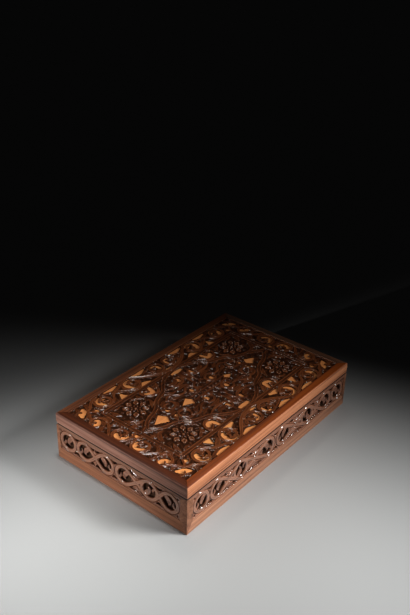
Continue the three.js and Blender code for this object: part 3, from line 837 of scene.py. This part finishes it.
lidCuts = [
    # openings through which the pale backing shows, of one quarter
    (coilPath((54, 24.4), [6.4, 6.4], [120, 315]), [1.5, 3.2, 3.2, 2]),
    (coilPath((102.3, 24.3), [7.4, 7.4], [118, 318]), [1.6, 3.6, 3.6, 2]),
    (coilPath((146.3, 22.8), [6.6, 6.6], [262, 385]), [1.6, 3.2, 1.6]),
    cut([(77.3, 37), (77.6, 33), (78, 29.4)], [4.6, 2.6, 0.7]),
    cut([(66.5, 12.6), (75.5, 13.6), (85.5, 12.4)], [0.9, 2, 0.9]),
    cut([(106, 36.4), (114, 34.8), (122.5, 36.6)], [0.9, 3, 0.9]),
    cut([(114.5, 12), (124.5, 13.6), (135, 12)], [0.9, 3.2, 0.9]),
    cut([(150.5, 35.4), (160, 35.6)], [0.8, 1.5]),
    cut([(16, 28.4), (18, 25.6), (21, 23.2), (24.2, 20.4), (26.4, 18)], [1.2, 3, 3.4, 3, 1.2]),
    cut([(34.6, 32.4), (35, 32.2)], [2, 2]),
    (coilPath((21.6, 86), [6.6, 6.6], [70, 250]), [1.6, 3.2, 3, 1.6]),
    cut([(13.8, 52.6), (17.6, 51), (21.5, 47), (23.5, 43.6)], [1.8, 3, 3.2, 1.6]),
    cut([(31.3, 102), (31.3, 95.6)], [1.7, 1.3]),
    cut([(98.4, 51.5), (102.5, 55.2), (107.4, 53.6), (110, 48), (110.4, 44.4)], [1.2, 3.4, 3.2, 2.2, 1.2]),
    cut([(91.4, 93.6), (91.8, 93.4)], [2, 2]),
    cut([(139, 90.4), (140.4, 89)], [2.7, 2.6]),
    cut([(147.2, 63), (148.8, 60), (147.2, 57.2)], [1.6, 2.2, 1.4]),
    cut([(152.6, 47.6), (160, 47.4)], [1.5, 2.3]),
]

kites = {  # those of the right half are cut smaller and nearer to the middle
    "left": [[(59.8, 101), (76.6, 91.4), (82.4, 101), (76.6, 110.6)],
             [(109, 101), (123.6, 93), (128, 101), (123.6, 109)]],
    "right": [[(67, 101), (80.5, 93.3), (85.2, 101), (80.5, 108.7)],
              [(116.8, 101), (126.6, 95.6), (129.6, 101), (126.6, 106.4)]],
}


def toolMarks(spots):
    # waves along the panel, bent by slower ones across it, times waves across it
    x, y = spots.T
    return np.sin(x * 2.1 + 3 * np.sin(y * 0.7)) * np.sin(y * 1.7)


def lidRelief(panel, halfKites):
    strokes = broadened(frameStrokes(panel, straps) + longBorder + cornerPalmette + shortBorder
                        + rosetteStrokes(rosette) + fieldLeaves + crescentTeeth, panel)
    firmStrokes = [s for s in strokes if s[0] != "leaf"]

    def relief(spots):
        # the openings stop at the stems and straps and cut into the leaves
        height, edge = carve(spots, strokes + fillerStrokes(filler), panel["rise"])
        firmEdge = carve(spots, firmStrokes, panel["rise"])[1]
        gap = np.maximum(openingGap(spots, lidCuts) - panel["widen"], -panel["cutIn"] - firmEdge)
        for kite in halfKites:
            gap = np.minimum(gap, polygonGap(spots, kite))
        height += panel["toolMarks"] * toolMarks(spots) * (edge > 0)
        return height, gap
    return relief


for half, signX in (("left", -1), ("right", 1)):
    made = piercedMesh("lid_carving", lidPanel, lidRelief(lidPanel, kites[half]))
    for end, signY in (("front", -1), ("back", 1)):
        place = Matrix(((-signX, 0, 0, signX * lidHalf["x"] * mm), (0, -signY, 0, signY * lidHalf["y"] * mm),
                        (0, 0, 1, 0), (0, 0, 0, 1)))
        addMesh(dict(made, name="lid_carving_" + end + "_" + half), place, lidCarvingMaterial, "lid",
                ["lid_fretwork"])
    print(half, "half of the lid carving:", len(made["faces"]), "faces in each quarter")

# Side carving

sidePanel = {
    "cell": 0.42,
    "rise": 1.5,
    "ramp": 0.9,
    "thick": 3.0,
    "border": 1.2,
    "web": 0.85,  # the web's share of the full height
    "groove": (0.1, 0.7),  # beside the rings: where it starts, and its width
}
rings = {
    "radius": 11.6,
    "half": 2.75,
    "arc": range(-132, 133, 33),  # degrees round a linked ring, from its far side
    "wideCrossing": 36,
    # where the rings stand along the side, the pairs that cross over into each other, and
    # which way each ring's leaves are flipped
    "short": {
        "along": (18.6, 46.5, 80.0, 109.0, 147.0, 176.6),
        "linked": ((1, 2), (3, 4), (4, 5)),
        "leaves": ((1, 1), (1, 1), (-1, 1), (1, 1), (-1, -1), (-1, 1)),
    },
    "long": {
        "along": (24.6, 53.0, 94.5, 146.8, 177.6, 229.9, 271.4, 299.8),
        "linked": ((1, 2), (2, 3), (4, 5), (5, 6)),
        "leaves": ((1, 1), (1, 1), (-1, -1), (-1, 1), (1, 1), (1, -1), (-1, 1), (-1, 1)),
    },
}
sideLeaves = {
    # points from the ring's centre, or from the crossing, half widths and share of the height
    "widen": 1.45,
    "hooked": ([(7.6, 7.4), (4.4, 5.4), (1.4, 2.4), (0.2, -1.2), (1.8, -4.2)],
               (1.5, 2.3, 2.5, 1.9, 0.6), 0.9),
    "small": ([(-8.4, -5.4), (-6.4, -4.2), (-4.9, -1.6), (-5.2, 1.6)], (1.0, 1.3, 1.2, 0.4), 0.85),
    "crossing": ([(-8, 13), (0, 9.2), (7, 11)], (1.0, 1.9, 0.6), 0.8),
}
slits = {
    "wideGap": 33,  # between two rings' centres; a wide gap has two slits above and below
    "apart": 0.175,
    "lean": 0.1,
    "reach": 4.2,
    "heights": (12, 9.8, 12.2),
    "half": [0.6, 2.0, 0.6],
    "endOut": 11.8,
    "endHeights": (11.9, 11.7),
    "endHalf": [1.4, 1.4],
}


def sideLeaf(name, x, y, flipX, flipY, widen=1.0):
    points, halfWidths, share = sideLeaves[name]
    return leaf([(x + flipX * a, y + flipY * b) for a, b in points], [widen * w for w in halfWidths], share)


def sideStrokes(pattern, middle):
    # rings in a row at the middle height, linked pairs drawn as one band that crosses over
    # between them, and two leaves in each ring
    radius, band, widen = rings["radius"], [rings["half"]] * 2, sideLeaves["widen"]

    def arc(centre, angles):
        turns = [math.radians(a) for a in angles]
        return [(centre + radius * math.cos(t), middle + radius * math.sin(t)) for t in turns]

    made = []
    for first, second in pattern["linked"]:
        left, right = pattern["along"][first], pattern["along"][second]
        cross = ((left + right) / 2, middle)
        if right - left > rings["wideCrossing"]:  # a leaf over and under a wide crossing
            made += [sideLeaf("crossing", *cross, flip, flip) for flip in (-1, 1)]
        leftArc = arc(left, [180 + a for a in rings["arc"]])
        rightArc = arc(right, [-a for a in rings["arc"]])
        made.append(stem(leftArc + [cross] + rightArc + [cross, leftArc[0]], band))
    linked = [k for pair in pattern["linked"] for k in pair]
    for k, (centre, flips) in enumerate(zip(pattern["along"], pattern["leaves"])):
        if k not in linked:
            made.append(("stem", coilPath((centre, middle), [radius, radius], [0, 360], count=60), band, 1.0))
        made += [sideLeaf(name, centre, middle, *flips, widen) for name in ("hooked", "small")]
    return made


def sideSlits(pattern, middle, size):
    # small openings in the web between the rings and at both ends of the field
    made = []
    for flip in (-1, 1):
        heights = [middle + h * flip for h in size["heights"]]
        for left, right in zip(pattern["along"], pattern["along"][1:]):
            gap = right - left
            wide = gap >= size["wideGap"]
            reach = size["lean"] * gap + 1 if wide else size["reach"]
            for side in (-1, 1) if wide else (0,):
                x = (left + right) / 2 + size["apart"] * gap * side
                across = (x - reach, x - size["lean"] * side * gap, x + reach)
                made.append(cut(list(zip(across, heights)), size["half"]))
        for x in (pattern["along"][0] - size["endOut"], pattern["along"][-1] + size["endOut"]):
            start, end = (middle + h * flip for h in size["endHeights"])
            made.append(cut([(x, start), (x + 0.01, end)], size["endHalf"]))
    return made


def sideRelief(pattern, panel):
    middle = (panel["y0"] + panel["y1"]) / 2
    strokes = sideStrokes(pattern, middle)
    cuts = sideSlits(pattern, middle, slits)

    def relief(spots):
        # open inside the rings and in the slits, but not under the strokes or in a narrow
        # border; the web round the rings lies a little lower, with a groove beside them
        height, edge = carve(spots, strokes, panel["rise"], panel["ramp"])
        allowed = openingGap(spots, cuts)
        x, y = spots.T
        for centre in pattern["along"]:
            allowed = np.minimum(allowed, np.hypot(x - centre, y - middle) - rings["radius"])
        start, width = panel["groove"]
        web = panel["rise"] * panel["web"] * smoothStep((edge - start) / width)
        height = np.maximum(height, np.where(allowed > 0, web, 0))
        inField = np.minimum(np.minimum(x - panel["x0"], panel["x1"] - x),
                             np.minimum(y - panel["y0"], panel["y1"] - y)) - panel["border"]
        return height, np.maximum(-np.minimum(edge, inField), allowed)
    return relief


def addScrollwork(side):
    # worked out in the side's own axes (along, up, outward) and then turned to the box's
    long = grainTurns[side] == 0
    low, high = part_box(side + "_fretwork")
    turn = math.radians(sideTurns[side])
    along = Vector((math.cos(turn), math.sin(turn), 0))
    inward = Vector((-math.sin(turn), math.cos(turn), 0))
    halfLength, outward = (cadHigh.x, cadHigh.y) if long else (cadHigh.y, cadHigh.x)
    start = -along * halfLength - inward * outward
    ends = [along.dot(Vector(p) - start) / mm for p in (low, high)]
    depth = min(inward.dot(Vector(p) - start) / mm for p in (low, high))
    panel = dict(sidePanel, x0=min(ends), x1=max(ends), y0=low.z / mm, y1=high.z / mm,
                 ground=-depth - sidePanel["rise"], back=-depth - sidePanel["thick"])
    made = piercedMesh(side + "_scrollwork", panel, sideRelief(rings["long" if long else "short"], panel))
    place = Matrix(((along.x, 0, -inward.x, start.x), (along.y, 0, -inward.y, start.y),
                    (0, 1, 0, 0), (0, 0, 0, 1)))
    addMesh(made, place, sideCarvingMaterials[grainTurns[side]], "body",
            [side + "_fretwork"])
    print(side, "scrollwork:", len(made["faces"]), "faces")


for side in sideTurns:
    addScrollwork(side)

# Boards, linings and hinges

boardEdges = {"bevel": 0.35, "segments": 3, "angle": 38, "flat": 1}


def boardCopy(node, material, body, edges):
    # the CAD board with its flat faces joined up and its arrises softened
    mesh = nodes[node].data.copy()
    mesh.name = node.replace("_rail", "_board").replace("_stile", "_upright") + "_worn"
    work = bmesh.new()
    work.from_mesh(mesh)
    bmesh.ops.remove_doubles(work, verts=work.verts, dist=1e-6)
    bmesh.ops.dissolve_limit(work, angle_limit=math.radians(edges["flat"]), verts=work.verts,
                             edges=work.edges)
    for face in work.faces:
        face.smooth = True
    work.to_mesh(mesh)
    work.free()
    piece = addPiece(mesh, material, body, [node])
    bevel = piece.modifiers.new("worn_edges", "BEVEL")
    bevel.width = edges["bevel"] * mm
    bevel.segments = edges["segments"]
    bevel.limit_method = "ANGLE"
    bevel.angle_limit = math.radians(edges["angle"])
    bevel.harden_normals = True


stileToneAndShade = {"left_stile": (0.84, 0.96, 1.15), "right_stile": (0.87, 0.97, 1.15)}
boardToneAndShade = {
    # how much of the red, green and blue of the common colour each board shows: its own tone, and painted
    # light and shade that make each side lighter or darker as the lamps lit it
    "front": {"top_rail": (0.84, 1.0, 1.4), **stileToneAndShade, "left_stile": (0.84, 0.98, 1.2),
              "bottom_rail": (1.28, 1.6, 2.1), "lid_rail": (1.78, 1.9, 2.05)},
    "right": {"top_rail": (0.84, 0.96, 1.15), **stileToneAndShade, "bottom_rail": (1.0, 1.05, 1.1),
              "lid_rail": (0.9, 0.95, 1.0)},
    "back": {"top_rail": (0.86, 0.98, 1.2), **stileToneAndShade, "bottom_rail": (1.05, 1.1, 1.15),
             "lid_rail": (0.95, 0.95, 1.0)},
    "left": {"top_rail": (0.63, 0.79, 1.1), **stileToneAndShade, "bottom_rail": (0.88, 0.96, 1.12),
             "lid_rail": (0.93, 1.2, 1.92)},
}
rimPatinaAndShade = {
    # how much of that colour is left on the lid's rounded top edge and rim: darker by patina, and by a
    # painted shade that differs from side to side as the lamps lit each side
    "front": (0.38, 0.19, 0.04),
    "right": (0.40, 0.43, 0.46),
    "back": (0.46, 0.36, 0.23),
    "left": (0.235, 0.11, 0.04),
}
boardGrain = {"stileTurn": 45, "shift": 11.0, "bottomShift": 77.0, "bottomTint": (0.9, 0.9, 0.9)}

for count, side in enumerate(sideTurns):
    for member, tint in boardToneAndShade[side].items():
        name = side + "_" + member
        turn = grainTurns[side] if "rail" in member else boardGrain["stileTurn"]
        onLid = member == "lid_rail"
        material = boardRosewood("rosewood_" + name, turn, boardGrain["shift"] * count + len(member), tint,
                                 rimPatinaAndShade[side] if onLid else (1, 1, 1))
        boardCopy(name, material, "lid" if onLid else "body", boardEdges)
boardCopy("bottom_board", boardRosewood("rosewood_bottom_board", 0, boardGrain["bottomShift"],
                                        boardGrain["bottomTint"]), "body", boardEdges)


def dress(node, material):
    mesh = nodes[node].data
    mesh.materials.clear()
    mesh.materials.append(material)


dress("lid_backing", backingMaterial)
for side in sideTurns:
    dress(side + "_lining", liningMaterials[grainTurns[side]])
for node in nodes:
    if "hinge" in node:
        dress(node, brassMaterial)
print("boards made")

# Floor, light and camera

floorSizes = {"half": 7.0, "points": 9, "colour": (0.40, 0.405, 0.40, 1), "roughness": 0.7}


def makeFloor(size):
    # flat grid under the box
    count = size["points"]
    x, y = np.meshgrid(*[np.linspace(-size["half"], size["half"], count)] * 2, indexing="ij")
    faces = gridCells(np.arange(count ** 2).reshape(count, count)).reshape(-1, 4)
    mesh = bpy.data.meshes.new("floor")
    points = np.column_stack([x.ravel(), y.ravel(), np.zeros(count ** 2)])
    mesh.from_pydata(points.tolist(), [], faces.tolist())
    floor = bpy.data.objects.new("floor", mesh)
    bpy.context.scene.collection.objects.link(floor)
    paint = Finish("pale_floor")
    paint.plug(paint.shader.inputs["Base Color"], size["colour"])
    paint.plug(paint.shader.inputs["Roughness"], size["roughness"])
    mesh.materials.append(paint.material)


lamps = {
    # place and aim in metres, power in watts, spread in degrees
    "key": {"place": (0.32, -0.80, 0.63), "aim": (-0.16, -0.20, 0), "size": (0.30, 0.24),
            "power": 0.92, "spread": 37.5},
    "front": {"place": (-0.22, 0.00, 1.10), "aim": (-0.32, 0.03, 0), "size": (0.30, 0.30),
              "power": 0.297, "spread": 19},
    "fill": {"place": (-1.00, 0.35, 0.125), "aim": (-0.16, 0.05, 0.022), "size": (0.20, 0.10),
             "power": 0.0655, "spread": 10.2},
    "sheen": {"place": (0.33, 0.33, 1.10), "aim": (-0.045, -0.02, 0.06), "size": (0.18, 0.14),
              "power": 0.040, "spread": 24, "colour": (1, 0.93, 0.84)},
}


def areaLight(name, place, aim, size, power, spread, colour=(1, 1, 1)):
    light = bpy.data.lights.new(name, "AREA")
    light.shape = "RECTANGLE"
    light.size, light.size_y = size
    light.energy = power
    light.color = colour
    light.spread = math.radians(spread)
    lamp = bpy.data.objects.new(name, light)
    bpy.context.scene.collection.objects.link(lamp)
    lamp.location = place
    lamp.rotation_euler = (Vector(aim) - Vector(place)).to_track_quat("-Z", "Y").to_euler()


worldColour = (0.004, 0.004, 0.004, 1)


def makeWorld(colour):
    world = bpy.data.worlds.new("studio")
    world.use_nodes = True
    background = world.node_tree.nodes["Background"]
    background.inputs["Color"].default_value = colour
    background.inputs["Strength"].default_value = 1.0
    bpy.context.scene.world = world


view = {
    # where the photograph was taken from: place in metres, the way it looks, its right hand
    "place": (-0.6533, -0.5141, 0.6322),
    "forward": (0.6831, 0.5481, -0.4826),
    "right": (0.63489, -0.77230, 0.02170),
    "lens": 47.69,
    "film": 36.0,
    "near": 0.02,
    "far": 60,
}


def makeCamera(view):
    camera = bpy.data.cameras.new("camera")
    camera.lens = view["lens"]
    camera.sensor_width = view["film"]
    camera.sensor_fit = "AUTO"
    camera.clip_start = view["near"]
    camera.clip_end = view["far"]
    eye = bpy.data.objects.new("camera", camera)
    bpy.context.scene.collection.objects.link(eye)
    forward = Vector(view["forward"]).normalized()
    right = Vector(view["right"])
    right = (right - forward * forward.dot(right)).normalized()
    turned = Matrix((right, right.cross(forward), -forward)).transposed().to_4x4()
    eye.matrix_world = Matrix.Translation(view["place"]) @ turned
    bpy.context.scene.camera = eye


makeFloor(floorSizes)
for name, lamp in lamps.items():
    areaLight(name, **lamp)
makeWorld(worldColour)
makeCamera(view)
bpy.context.scene.view_settings.view_transform = "Standard"
print("stage set")
